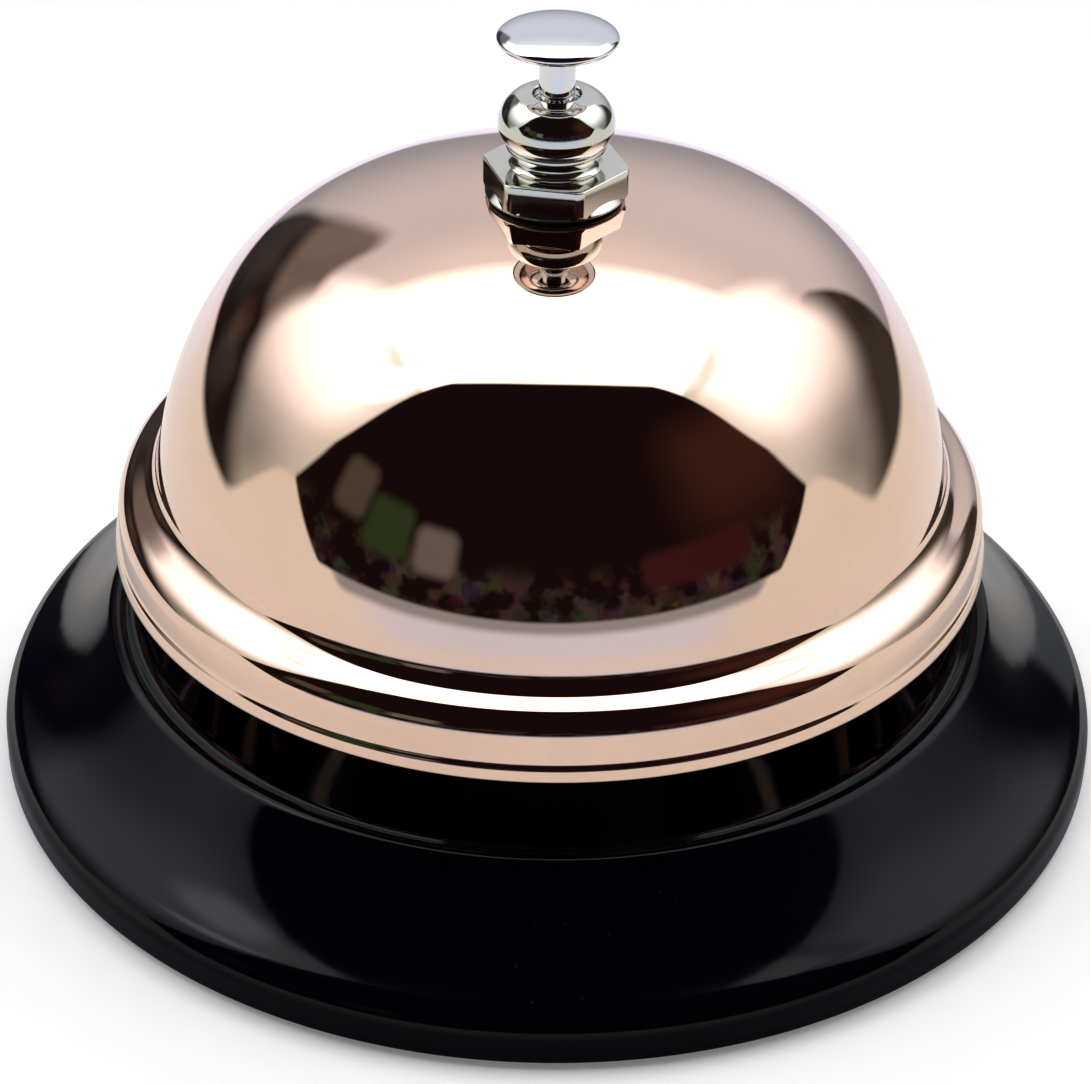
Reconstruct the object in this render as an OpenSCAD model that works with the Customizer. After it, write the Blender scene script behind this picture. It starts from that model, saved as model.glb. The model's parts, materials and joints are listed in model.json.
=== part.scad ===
// Counter service bell: a plated steel dome on a glossy black flared base. Pressing the
// button tips a pivoted striker, whose hammer swings out to the inside of the dome.
// Millimetres. Z is up, the bell's axis is Z and the counter top is z = 0.

/* [Base] */
// Outside diameter of the base
base_d = 85; // [82:1:90]
// Height of the ridge above the deck that it rings
ridge_h = 1.2; // [0.9:0.1:1.6]
// Radius of the ridge, at its crest
ridge_r = 33.3; // [33:0.1:34]
// Height of the deck that the mechanism stands on
deck_z = 10.2; // [9.8:0.1:10.6]
// Wall thickness of the base
base_wall = 1.9; // [1.5:0.1:2.2]
// Radius of the circle of cover screws
screw_circle_r = 25; // [22:1:27]
// Number of cover screws
screw_count = 3; // [3:1:6]

/* [Dome] */
// Height of the top of the dome above the counter
dome_top = 45.5; // [45:0.1:47]
// Radius of the flat crown
crown_r = 50; // [45:1:60]
// Radius of the curve between crown and side
turn_r = 16.1; // [16:0.1:17]
// Radius of the side
side_r = 29.2; // [29:0.1:29.8]
// Radius of the hollow above the skirt
cove_r = 1.8; // [1.5:0.1:2.2]
// Radius of the rounded bead at the top of the skirt
bead_r = 2.2; // [2:0.1:2.6]
// Height of the bottom edge of the dome
rim_z = 17.3; // [16.5:0.1:17.6]
// Thickness of the dome's sheet
sheet_t = 0.9; // [0.7:0.1:1]

/* [Cap nut and button] */
// Width across the flats of the cap nut
cap_flats = 9.4; // [9:0.1:10.5]
// Height of the hexagon of the cap nut
cap_hex_h = 2.25; // [2:0.05:2.6]
// Largest radius of the ball of the cap nut
ball_r = 4.2; // [4.1:0.05:4.4]
// Radius of the button
button_r = 4.35; // [4:0.05:4.8]
// Thickness of the button
button_t = 1.7; // [1.5:0.1:1.9]
// Radius of the button's stem
stem_r = 1.3; // [1.2:0.05:1.4]
// Travel of the button
stroke = 2.6; // [2:0.1:2.6]

/* [Mechanism] */
// Radius of the threaded post
post_r = 2.5; // [2.4:0.05:2.6]
// Width across the flats of the plain nuts
nut_flats = 8; // [7.5:0.5:10]
// Thickness of the bracket's strip
strip_t = 1.2; // [1:0.1:1.5]
// Inside width of the bracket
bracket_gap = 14; // [13:0.5:16]
// Distance from the bell's axis to the striker's pivot
pivot_x = 6; // [5.5:0.1:6]
// Height of the striker's pivot
pivot_z = 28; // [27.8:0.1:28]
// Distance from the pivot to the middle of the hammer
hammer_reach = 20.2; // [19:0.1:20.4]
// Radius of the hammer
hammer_r = 2.6; // [2.2:0.1:2.6]
// Slope of the striker's arm below level, at rest
arm_slope = 38; // [37:1:40]
// Diameter of the spring wire
wire_d = 0.35; // [0.3:0.05:0.4]
// Turns of the return spring
spring_turns = 7; // [5:1:9]

/* [Hidden] */
$fn = 96;

grip = 0.02;          // interference of pressed and threaded fits
running = 0.05;       // radial clearance of running fits
loose = 0.1;          // radial clearance of holes that a screw or post only passes through
lap = 0.3;            // how far joined solids of one piece run into each other

// Base
base_r = base_d / 2;
rim_lift = 0.4;       // the foot pad stands this far below the rim of the base
rim_round = 0.4;
edge_r = 2.7;         // rounding of the outer edge
edge_z = 2.2;         // height of that rounding's centre
foot_tilt = 63;       // direction that the surface faces at the foot and the head of the flare
head_tilt = 40;
flare_pull = 0.36;    // how far each end's direction holds, as a share of the flare's length
ridge_z = deck_z + ridge_h;
crest_r = 1;          // rounding of the ridge
dish_tilt = 140;      // steepest direction that the surface faces inside the ridge
shelf_z = 2.6;        // underside of the ledge that the bottom plate seats on
shelf_r = 39.4;
plate_r = 40;
plate_t = 1.2;
plate_gap = 0.3;      // room around the bottom plate
plate_z = shelf_z - plate_t;
pad_r = [29.5, 39.4];
boss_r = 3;
screw_r = 1.4;
screw_l = 5.2;
screw_head_r = 2.5;
screw_head_h = 1.1;
screw_head_taper = 0.5;
recess_w = 0.5;       // width, half length and depth of the cross recess
recess_l = 1.5;
recess_depth = 0.5;

// Bracket
bridge_z = 33;
bracket_x = [-6.5, 9.5];
bend_r = 1.6;         // inside radius of the bends
foot_l = 7.5;
leg_y = bracket_gap / 2;
rivet_r = 1.3;
rivet_y = leg_y + strip_t + 4.6;
rivet_x = [-3.2, 6.2];

// Post, nuts and washers
post_flange_r = 4;
post_flange_h = 1.2;
post_base = bridge_z - post_flange_h;
post_top = 48.8;
post_chamfer = 0.4;
rod_r = 0.95;
well_r = 1.72;        // bore that holds the spring and guides the button's collar
well_z = 44;
lock_washer_h = 0.8;
lock_washer_w = 1.9;  // width and split of the washer's ring
lock_washer_split = 0.8;
lock_nut_h = 3;
lower_washer_r = 5;
lower_washer_t = 0.5;
lower_washer_top = dome_top - sheet_t - 0.35;
seat_nut_h = 2.5;
dome_hole_r = post_r + 0.15;
upper_washer_r = 4.9;
upper_washer_t = 0.12;  // how far its top stands above the crown
crown_seat_z = dome_top - crown_r + sqrt(crown_r * crown_r - dome_hole_r * dome_hole_r);

// Cap nut
cap_z = dome_top + upper_washer_t;
cap_hex_top = cap_z + cap_hex_h;
cap_chamfer = 0.4;
cap_bearing_r = 5.1;   // the hexagon stands on a round flange of this radius
cap_flange_edge = 0.12;
cap_flange_h = 0.65;
neck_r = 3.15;
neck_waist = 0.2;     // how far the neck is hollowed
neck_steps = 4;
collar_edge = 0.15;
post_room = 0.2;      // depth of the thread beyond the post
collar_z = [cap_z + 3.5, cap_z + 3.85];
collar_r = 3.6;
ball_z = cap_z + 5.38;
ball_side_r = 2.3;    // rounding of the ball's side, of its top edge and of its underside
ball_top_r = 1.45;
ball_under_r = 2;
ball_side_tilt = 56;  // where the side turns into the top edge, and the top edge into the top
ball_top_tilt = 82;
cap_turn = -10.7;     // how far the hexagon has been turned, degrees

// Button and plunger
button_z = cap_z + 11.83;
button_drop = 0.42 * button_t;  // how far the button reaches below its widest line
button_under_z = button_z - button_drop;
button_under_r = 2.6;
stem_fillet = 0.5;
guide_r = well_r - running;
guide_z = [51, 52.6];
guide_edge = 0.1;
guide_shoulder = 0.3;
rod_tip_gap = 0.1;
pad_rise = 1.5;       // height of the striker's pad above the pivot
rod_base = pivot_z + pad_rise + rod_tip_gap;
rod_seat = 2.2;       // depth that the rod is pressed into the button's stem
rod_top = guide_z[0] + rod_seat;
clip_t = 0.6;
rod_clip_z = post_base - 0.05 - clip_t;
rod_clip_r = 2.2;
clip_gap = 34;        // half the opening of a clip, degrees
groove_depth = 0.25;

// Striker
pin_r = 1;
pin_head_r = 1.8;
pin_head_t = 0.8;
pin_end = leg_y + strip_t + 1.6;
pin_clip_r = 2;
pin_clip_y = leg_y + strip_t + 0.1;
eye_r = 2.4;
arm_w = 5;
arm_tip_w = 2.2;
arm_t = 1.2;
pad_l = 1.9;          // how far the pad runs past the bell's axis
arm_end = hammer_reach + 1;
arm_taper = [hammer_reach - 8, hammer_reach - 3.2];
spacer_r = 1.9;
spacer_gap = 0.12;    // side play of the striker

// Spring
coil_r = 1.36;
spring_z = [well_z + 0.05, guide_z[0] - 0.05];
wire_sides = 6;
coil_steps = 14;

// Points on a circular arc, with the angles measured from the +X direction
function arc(centre, r, from, to, step = 4) =
    let (n = max(2, ceil(abs(to - from) / step)))
    [for (i = [0:n]) let (a = from + (to - from) * i / n) centre + r * [cos(a), sin(a)]];
function reversed(points) = [for (i = [len(points) - 1:-1:0]) points[i]];
function flipped(points) = [for (p = points) [-p[0], p[1]]];
function mirrored(points) = reversed(flipped(points));

// Points on an oval about a centre on the Z axis
function oval(z, half_w, half_h, from, to, n) =
    [for (i = [0:n]) let (a = from + (to - from) * i / n) [half_w * cos(a), z + half_h * sin(a)]];

// Dome: three arcs that meet smoothly, the cove, a short shoulder, the bead and the lipped skirt
crown_tilt = 70;
turn_tilt = 34;
side_tilt = 8.1;
cove_tilt = 66;
shoulder_l = 0.8;     // straight stretch between the cove and the bead
skirt_tilt = 2;
lip_tilt = 35;
lip_r = 0.7;
lip_z = 18.9;
edge_round = 0.28;
function toward(a) = [cos(a), sin(a)];
crown_c = [0, dome_top - crown_r];
turn_c = crown_c + (crown_r - turn_r) * toward(crown_tilt);
side_c = turn_c + (turn_r - side_r) * toward(turn_tilt);
cove_c = side_c + (side_r + cove_r) * toward(side_tilt);
bead_c = cove_c - (cove_r + bead_r) * toward(cove_tilt) + shoulder_l * toward(cove_tilt - 90);
skirt_top = bead_c + bead_r * toward(skirt_tilt);
lip_top = [skirt_top[0] + (skirt_top[1] - lip_z) * tan(skirt_tilt), lip_z];
lip_in_c = lip_top + lip_r * toward(skirt_tilt);
lip_out_c = lip_in_c - 2 * lip_r * toward(lip_tilt);
rim_r = lip_out_c[0] + lip_r + 0.1;

function dome_outside() = concat(
    arc(crown_c, crown_r, 90, crown_tilt),
    arc(turn_c, turn_r, crown_tilt, turn_tilt),
    arc(side_c, side_r, turn_tilt, side_tilt),
    arc(cove_c, -cove_r, side_tilt, cove_tilt, 8),
    arc(bead_c, bead_r, cove_tilt, skirt_tilt, 8),
    arc(lip_in_c, -lip_r, skirt_tilt, lip_tilt, 11),
    arc(lip_out_c, lip_r, lip_tilt, 0, 12),
    arc([rim_r - edge_round, rim_z + edge_round], edge_round, 0, -90, 30));
function dome_inside() = concat(
    [[rim_r - sheet_t, rim_z]],
    arc(bead_c, bead_r - sheet_t, skirt_tilt, cove_tilt, 8),
    arc(cove_c, -cove_r - sheet_t, cove_tilt, side_tilt, 8),
    arc(side_c, side_r - sheet_t, side_tilt, turn_tilt),
    arc(turn_c, turn_r - sheet_t, turn_tilt, crown_tilt),
    arc(crown_c, crown_r - sheet_t, crown_tilt, 90));

module tube(r_out, r_in, z0, z1) {
    difference() {
        translate([0, 0, z0]) cylinder(r = r_out, h = z1 - z0);
        translate([0, 0, z0 - lap]) cylinder(r = r_in, h = z1 - z0 + 2 * lap);
    }
}

module on_screw_circle() {
    for (i = [0:screw_count - 1])
        rotate(90 + i * 360 / screw_count) translate([screw_circle_r, 0, 0]) children();
}

// Hexagon nut with a turned chamfer at both ends
module plain_nut(flats, z0, h, bore_r) {
    chamfer = 0.5;
    r = flats / sqrt(3);
    translate([0, 0, z0]) difference() {
        intersection() {
            cylinder(r = r, h = h, $fn = 6);
            rotate_extrude() polygon([
                [0, 0], [r - chamfer, 0], [r, chamfer * 0.6],
                [r, h - chamfer * 0.6], [r - chamfer, h], [0, h]]);
        }
        translate([0, 0, -lap]) cylinder(r = bore_r, h = h + 2 * lap);
    }
}

// Open snap ring that grips a groove of radius r_in
module snap_ring(r_in, r_out, h) {
    slot_l = r_out + lap;
    slot_w = r_out * sin(clip_gap);
    difference() {
        cylinder(r = r_out, h = h);
        translate([0, 0, -lap]) cylinder(r = r_in, h = h + 2 * lap);
        translate([0, -slot_w / 2, -lap]) cube([slot_l, slot_w, h + 2 * lap]);
    }
}

// The flare: a smooth curve from the rounded outer edge up to the ridge
flare_foot = [base_r - edge_r, edge_z] + edge_r * toward(foot_tilt);
crest_c = [ridge_r, ridge_z - crest_r];
flare_head = crest_c + crest_r * toward(head_tilt);
pull = flare_pull * norm(flare_head - flare_foot);
foot_pull = flare_foot + pull * toward(foot_tilt + 90);
head_pull = flare_head - pull * toward(head_tilt + 90);
flare_steps = 12;
function flare_point(s) = let (t = 1 - s)
    t ^ 3 * flare_foot + 3 * t * t * s * foot_pull + 3 * t * s * s * head_pull + s ^ 3 * flare_head;

// The dish inside the ridge: a hollow curve that runs out level on the deck
dish_r = ridge_h / (1 - sin(dish_tilt)) - crest_r;
dish_c = crest_c + (crest_r + dish_r) * toward(dish_tilt);

module base_shell() {
    waist = flare_point(0.5) - base_wall * toward((foot_tilt + head_tilt) / 2);
    outside = concat(
        arc([base_r - rim_round, rim_lift + rim_round], rim_round, -90, 0, 30),
        arc([base_r - edge_r, edge_z], edge_r, 0, foot_tilt, 7),
        [for (i = [1:flare_steps - 1]) flare_point(i / flare_steps)],
        arc(crest_c, crest_r, head_tilt, dish_tilt, 12),
        arc(dish_c, -dish_r, dish_tilt, 90, 10),
        [[0, deck_z]]);
    inside = [
        [0, deck_z - base_wall], [ridge_r - base_wall, deck_z - base_wall],
        waist, [shelf_r, flare_foot[1] - base_wall],
        [shelf_r, shelf_z], [plate_r + plate_gap, shelf_z], [plate_r + plate_gap, rim_lift]];
    color([0.02, 0.02, 0.025]) difference() {
        union() {
            rotate_extrude() polygon(concat(outside, inside));
            on_screw_circle() translate([0, 0, shelf_z])
                cylinder(r = boss_r, h = deck_z - base_wall - shelf_z + lap);
        }
        on_screw_circle() translate([0, 0, shelf_z - lap])
            cylinder(r = screw_r - grip, h = screw_l);
        for (x = rivet_x, y = [-rivet_y, rivet_y])
            translate([x, y, 0]) cylinder(r = rivet_r, h = deck_z + lap);
    }
}

module bottom_plate() {
    color([0.62, 0.63, 0.65]) difference() {
        translate([0, 0, plate_z]) cylinder(r = plate_r, h = plate_t);
        on_screw_circle() cylinder(r = screw_r + loose, h = shelf_z + lap);
    }
}

module foot_pad() {
    color([0.06, 0.06, 0.06]) tube(pad_r[1], pad_r[0], 0, plate_z);
}

module plate_screws() {
    color([0.7, 0.7, 0.72]) on_screw_circle() difference() {
        union() {
            translate([0, 0, plate_z - screw_head_h]) cylinder(
                r1 = screw_head_r - screw_head_taper, r2 = screw_head_r, h = screw_head_h);
            translate([0, 0, plate_z - lap]) cylinder(r = screw_r, h = screw_l);
        }
        for (turn = [0, 90]) rotate(turn)
            translate([-recess_l, -recess_w / 2, 0])
            cube([2 * recess_l, recess_w, plate_z - screw_head_h + recess_depth]);
    }
}

// One side of the bent strip, seen along X, at a depth below its outer face: foot, leg, bridge
function strip_side(depth) = concat(
    [[leg_y + strip_t + foot_l, deck_z + strip_t - depth]],
    arc([leg_y + strip_t + bend_r, deck_z + strip_t + bend_r], bend_r + depth, -90, -180, 18),
    arc([leg_y - bend_r, bridge_z - bend_r], bend_r + strip_t - depth, 0, 90, 18));

module mechanism_bracket() {
    outer = strip_side(0);
    inner = strip_side(strip_t);
    outline = concat(outer, mirrored(outer), flipped(inner), reversed(inner));
    color([0.68, 0.69, 0.7]) difference() {
        translate([bracket_x[0], 0, 0]) rotate([90, 0, 90])
            linear_extrude(bracket_x[1] - bracket_x[0]) polygon(outline);
        translate([0, 0, bridge_z - lap]) cylinder(r = post_r - grip, h = strip_t + 2 * lap);
        translate([pivot_x, pin_end, pivot_z]) rotate([90, 0, 0])
            cylinder(r = pin_r - grip, h = 2 * pin_end);
        for (x = rivet_x, y = [-rivet_y, rivet_y])
            translate([x, y, 0]) cylinder(r = rivet_r, h = bridge_z / 2);
    }
}

module bracket_rivets() {
    head_r = rivet_r * 1.8;
    head_h = 0.8;
    color([0.75, 0.75, 0.77]) for (x = rivet_x, y = [-rivet_y, rivet_y])
        translate([x, y, 0]) rotate_extrude() polygon(concat(
            [[0, deck_z - base_wall - head_h], [head_r, deck_z - base_wall - head_h]],
            [[head_r, deck_z - base_wall], [rivet_r + grip, deck_z - base_wall]],
            [[rivet_r + grip, deck_z + strip_t], [head_r, deck_z + strip_t]],
            [for (a = [10:10:90])
                [head_r * cos(a), deck_z + strip_t + head_h * sin(a)]]));
}

module centre_post() {
    color([0.72, 0.72, 0.73]) difference() {
        union() {
            translate([0, 0, post_base]) cylinder(r = post_flange_r, h = post_flange_h);
            translate([0, 0, post_base]) cylinder(r = post_r, h = post_top - post_base - post_chamfer);
            translate([0, 0, post_top - post_chamfer])
                cylinder(r1 = post_r, r2 = post_r - post_chamfer, h = post_chamfer);
        }
        translate([0, 0, post_base - lap])
            cylinder(r = rod_r + running, h = post_top - post_base);
        translate([0, 0, well_z]) cylinder(r = well_r, h = post_top - well_z + lap);
    }
}

module post_lock_washer() {
    washer_z = bridge_z + strip_t;
    color([0.6, 0.6, 0.62]) difference() {
        tube(post_r + lock_washer_w, post_r + loose, washer_z, washer_z + lock_washer_h);
        translate([post_r, -lock_washer_split / 2, washer_z - lap])
            cube([2 * post_r, lock_washer_split, lock_washer_h + 2 * lap]);
    }
}

module post_lock_nut() {
    color([0.74, 0.74, 0.75])
        plain_nut(nut_flats, bridge_z + strip_t + lock_washer_h, lock_nut_h, post_r - grip);
}

module dome_seat_nut() {
    color([0.74, 0.74, 0.75]) plain_nut(nut_flats,
        lower_washer_top - lower_washer_t - seat_nut_h, seat_nut_h, post_r - grip);
}

module dome_lower_washer() {
    color([0.75, 0.2, 0.15])
        tube(lower_washer_r, post_r + loose, lower_washer_top - lower_washer_t, lower_washer_top);
}

module bell_dome() {
    color([0.93, 0.72, 0.64]) difference() {
        rotate_extrude() polygon(concat(dome_outside(), dome_inside()));
        translate([0, 0, lower_washer_top])
            cylinder(r = dome_hole_r, h = dome_top - lower_washer_top + lap);
    }
}

module dome_upper_washer() {
    color([0.12, 0.1, 0.1]) tube(upper_washer_r, post_r + loose, crown_seat_z, cap_z);
}

module cap_nut() {
    hex_r = cap_flats / sqrt(3);
    ball_foot = asin((ball_z - collar_z[1]) / ball_under_r);
    ball_side_c = [ball_r - ball_side_r, ball_z];
    ball_edge_c = ball_side_c + (ball_side_r - ball_top_r) * toward(ball_side_tilt);
    brow = ball_edge_c + ball_top_r * toward(ball_top_tilt);
    mouth = [well_r, brow[1] + (brow[0] - well_r) / tan(ball_top_tilt)];
    turned = concat(
        [[0, cap_hex_top - lap], [neck_r, cap_hex_top - lap]],
        [for (i = [0:neck_steps]) let (s = i / neck_steps) [
            neck_r - neck_waist * sin(180 * s),
            cap_hex_top + (collar_z[0] - cap_hex_top) * s]],
        [[collar_r - collar_edge, collar_z[0]], [collar_r, collar_z[0] + collar_edge]],
        [[collar_r, collar_z[1]]],
        arc([ball_r - ball_under_r, ball_z], ball_under_r, -ball_foot, 0, 8),
        arc(ball_side_c, ball_side_r, 0, ball_side_tilt, 7),
        arc(ball_edge_c, ball_top_r, ball_side_tilt, ball_top_tilt, 7),
        [mouth, [0, mouth[1]]]);
    color([0.86, 0.84, 0.8]) difference() {
        union() {
            intersection() {
                rotate(cap_turn) translate([0, 0, cap_z])
                    cylinder(r = hex_r, h = cap_hex_h, $fn = 6);
                rotate_extrude() polygon([
                    [0, cap_z], [cap_bearing_r, cap_z],
                    [cap_bearing_r + cap_chamfer, cap_z + cap_chamfer],
                    [cap_bearing_r + cap_chamfer, cap_hex_top], [0, cap_hex_top]]);
            }
            rotate_extrude() polygon([
                [0, cap_z], [cap_bearing_r, cap_z],
                [cap_bearing_r, cap_z + cap_flange_edge],
                [cap_flats / 2 - cap_flange_edge, cap_z + cap_flange_h],
                [0, cap_z + cap_flange_h]]);
            rotate_extrude() polygon(turned);
        }
        translate([0, 0, cap_z - lap])
            cylinder(r = post_r - grip, h = post_top + post_room - cap_z + lap);
        translate([0, 0, cap_z]) cylinder(r = well_r, h = button_z - cap_z);
    }
}

module pivot_pin() {
    color([0.7, 0.7, 0.72]) translate([pivot_x, 0, pivot_z]) rotate([90, 0, 0]) difference() {
        union() {
            translate([0, 0, -pin_end]) cylinder(r = pin_r, h = pin_end + leg_y + strip_t + lap);
            translate([0, 0, leg_y + strip_t]) cylinder(r = pin_head_r, h = pin_head_t);
        }
        tube(pin_r + lap, pin_r - groove_depth, -pin_clip_y - clip_t, -pin_clip_y);
    }
}

module pivot_clip() {
    color([0.3, 0.3, 0.32]) translate([pivot_x, pin_clip_y + clip_t, pivot_z]) rotate([90, 90, 0])
        snap_ring(pin_r - groove_depth - grip, pin_clip_r, clip_t);
}

module pivot_spacers() {
    inner_y = arm_w / 2 + spacer_gap;
    color([0.9, 0.88, 0.8]) for (side = [0, 180])
        translate([pivot_x, 0, pivot_z]) rotate([90, 0, side])
            tube(spacer_r, pin_r - grip, inner_y, leg_y);
}

// The striker is drawn with its pivot at the origin, in the X-Z plane
module striker_arm() {
    color([0.7, 0.7, 0.71]) translate([pivot_x, 0, pivot_z]) difference() {
        union() {
            translate([0, arm_w / 2, 0]) rotate([90, 0, 0]) cylinder(r = eye_r, h = arm_w);
            translate([-pivot_x - pad_l, -arm_w / 2, pad_rise - arm_t])
                cube([pivot_x + pad_l, arm_w, arm_t]);
            rotate([0, arm_slope, 0]) translate([0, 0, -arm_t / 2]) linear_extrude(arm_t) polygon([
                [0, -arm_w / 2], [arm_taper[0], -arm_w / 2], [arm_taper[1], -arm_tip_w / 2],
                [arm_end, -arm_tip_w / 2], [arm_end, arm_tip_w / 2],
                [arm_taper[1], arm_tip_w / 2], [arm_taper[0], arm_w / 2], [0, arm_w / 2]]);
        }
        translate([0, arm_w, 0]) rotate([90, 0, 0]) cylinder(r = pin_r + running, h = 2 * arm_w);
    }
}

module striker_hammer() {
    slot_l = arm_end - hammer_reach + hammer_r + lap;
    color([0.8, 0.68, 0.4]) translate([pivot_x, 0, pivot_z]) rotate([0, arm_slope, 0])
        translate([hammer_reach, 0, 0]) difference() {
            sphere(r = hammer_r);
            translate([-hammer_r - lap, -arm_tip_w / 2 + grip, -arm_t / 2 + grip])
                cube([slot_l, arm_tip_w - 2 * grip, arm_t - 2 * grip]);
        }
}

module push_button() {
    underside = [for (a = [90:-15:15]) [
        button_under_r + (button_r - button_under_r) * cos(a),
        button_z - button_drop * sin(a)]];
    color([0.86, 0.87, 0.9]) difference() {
        rotate_extrude() polygon(concat(
            [[0, guide_z[0]], [guide_r - guide_edge, guide_z[0]]],
            [[guide_r, guide_z[0] + guide_edge], [guide_r, guide_z[1]]],
            [[stem_r, guide_z[1] + guide_shoulder]],
            arc([stem_r + stem_fillet, button_under_z - stem_fillet], stem_fillet, 180, 90, 30),
            underside,
            oval(button_z, button_r, button_t - button_drop, 0, 90, 15)));
        translate([0, 0, guide_z[0] - lap]) cylinder(r = rod_r - grip, h = rod_seat + lap);
    }
}

module plunger_rod() {
    color([0.72, 0.72, 0.74]) difference() {
        union() {
            translate([0, 0, rod_base + rod_r]) sphere(r = rod_r);
            translate([0, 0, rod_base + rod_r])
                cylinder(r = rod_r, h = rod_top - rod_base - rod_r);
        }
        tube(rod_r + lap, rod_r - groove_depth, rod_clip_z, rod_clip_z + clip_t);
    }
}

module rod_clip() {
    color([0.3, 0.3, 0.32]) translate([0, 0, rod_clip_z]) rotate(180)
        snap_ring(rod_r - groove_depth - grip, rod_clip_r, clip_t);
}

// Round wire swept along a helix whose end turns are closed and ground flat
function coil_height(s) =
    let (rise = spring_z[1] - spring_z[0] - wire_d, f = s * spring_turns,
        dead = wire_d, live = rise - 2 * dead)
    spring_z[0] + wire_d / 2
    + (f < 1 ? dead * f
        : f > spring_turns - 1 ? dead + live + dead * (f - spring_turns + 1)
        : dead + live * (f - 1) / (spring_turns - 2));

module return_spring() {
    rings = spring_turns * coil_steps;
    points = [for (i = [0:rings], k = [0:wire_sides - 1])
        let (a = i * 360 / coil_steps, b = k * 360 / wire_sides,
            r = coil_r + wire_d / 2 * cos(b))
        [r * cos(a), r * sin(a), coil_height(i / rings) + wire_d / 2 * sin(b)]];
    sides = [for (i = [0:rings - 1], k = [0:wire_sides - 1])
        let (j = (k + 1) % wire_sides, p = i * wire_sides, q = p + wire_sides)
        [p + k, q + k, q + j, p + j]];
    start = [for (k = [0:wire_sides - 1]) k];
    end = [for (k = [wire_sides - 1:-1:0]) rings * wire_sides + k];
    color([0.75, 0.76, 0.78]) polyhedron(points, concat(sides, [start], [end]), convexity = 10);
}

base_shell();
bottom_plate();
foot_pad();
plate_screws();
mechanism_bracket();
bracket_rivets();
centre_post();
post_lock_washer();
post_lock_nut();
dome_seat_nut();
dome_lower_washer();
bell_dome();
dome_upper_washer();
cap_nut();
pivot_pin();
pivot_clip();
pivot_spacers();
striker_arm();
striker_hammer();
push_button();
plunger_rod();
rod_clip();
return_spring();
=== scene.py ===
"""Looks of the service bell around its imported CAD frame: pieces, materials, light and camera."""
import json
import math

import bpy
import numpy as np
from mathutils import Matrix, Vector


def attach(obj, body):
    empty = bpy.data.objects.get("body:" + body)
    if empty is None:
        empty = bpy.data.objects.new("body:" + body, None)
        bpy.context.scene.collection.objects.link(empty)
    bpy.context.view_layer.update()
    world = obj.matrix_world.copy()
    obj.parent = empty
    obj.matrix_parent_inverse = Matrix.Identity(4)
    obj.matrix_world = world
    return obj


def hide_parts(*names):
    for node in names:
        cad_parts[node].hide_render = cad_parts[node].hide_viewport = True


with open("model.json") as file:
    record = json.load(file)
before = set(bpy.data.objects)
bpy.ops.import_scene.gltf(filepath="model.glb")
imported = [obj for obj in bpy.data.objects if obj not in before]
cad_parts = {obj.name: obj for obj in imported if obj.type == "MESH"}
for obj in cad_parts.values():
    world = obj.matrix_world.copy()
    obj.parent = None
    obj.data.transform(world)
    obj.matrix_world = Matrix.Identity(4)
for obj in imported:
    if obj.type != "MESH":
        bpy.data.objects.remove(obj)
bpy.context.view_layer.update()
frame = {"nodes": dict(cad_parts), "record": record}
NODES = frame["nodes"]
MM = 0.001


# ---------------------------------------------------------------- profiles, in millimetres

def toward(angle):
    a = math.radians(angle)
    return np.array([math.cos(a), math.sin(a)])


def arc(centre, r, start, end, step=1.5):
    """Points on a circular arc, with the angles measured from the +X direction."""
    n = max(2, math.ceil(abs(end - start) / step))
    return [np.array(centre) + r * toward(start + (end - start) * i / n) for i in range(n + 1)]


def line(a, b, n=4):
    a, b = np.array(a, float), np.array(b, float)
    return [a + (b - a) * i / n for i in range(n + 1)]


def add_piece(name, verts, faces, smooth=True):
    mesh = bpy.data.meshes.new(name)
    mesh.from_pydata(verts, [], faces)
    if smooth:
        mesh.shade_smooth()
    piece = bpy.data.objects.new(name, mesh)
    bpy.context.scene.collection.objects.link(piece)
    return piece


def lathe(name, runs, segments):
    """Turns a profile about Z. Each run is a smooth stretch; an edge between two runs stays sharp."""
    verts, faces = [], []
    angles = [2 * math.pi * i / segments for i in range(segments)]
    for run in runs:
        clean = [run[0]] + [q for p, q in zip(run, run[1:]) if np.hypot(*(q - p)) > 1e-5]
        rows = []
        for r, z in clean:
            if r < 1e-6:
                rows.append([len(verts)])
                verts.append((0.0, 0.0, z * MM))
                continue
            rows.append(list(range(len(verts), len(verts) + segments)))
            verts += [(r * MM * math.cos(a), r * MM * math.sin(a), z * MM) for a in angles]
        for low, high in zip(rows, rows[1:]):
            for i in range(segments):
                j = (i + 1) % segments
                corners = [low[i % len(low)], high[i % len(high)], high[j % len(high)], low[j % len(low)]]
                faces.append([c for k, c in enumerate(corners) if c not in corners[:k]])
    return add_piece(name, verts, faces)


def stand_for(piece, node, slot):
    """Dresses a piece in the look of its slot, in place of a CAD node and on that node's body."""
    bodies = frame["record"]["behaviour"]["bodies"]
    piece.data.materials.append(LOOKS[slot])
    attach(piece, next(body for body, nodes in bodies.items() if node in nodes))
    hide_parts(node)


# ---------------------------------------------------------------- dome

DOME_TOP = 45.5
SHEET = 0.9
CROWN, TURN, SIDE, COVE, BEAD, SHOULDER = 50.0, 16.1, 29.2, 1.8, 2.2, 0.8
CROWN_TILT, TURN_TILT, SIDE_TILT, COVE_TILT, SKIRT_TILT, LIP_TILT = 70, 34, 8.1, 66, 2, 35
LIP, LIP_Z, RIM_Z, EDGE = 0.7, 18.9, 17.3, 0.28
LIP_STEP = 0.1
DOME_HOLE = 2.65


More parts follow.
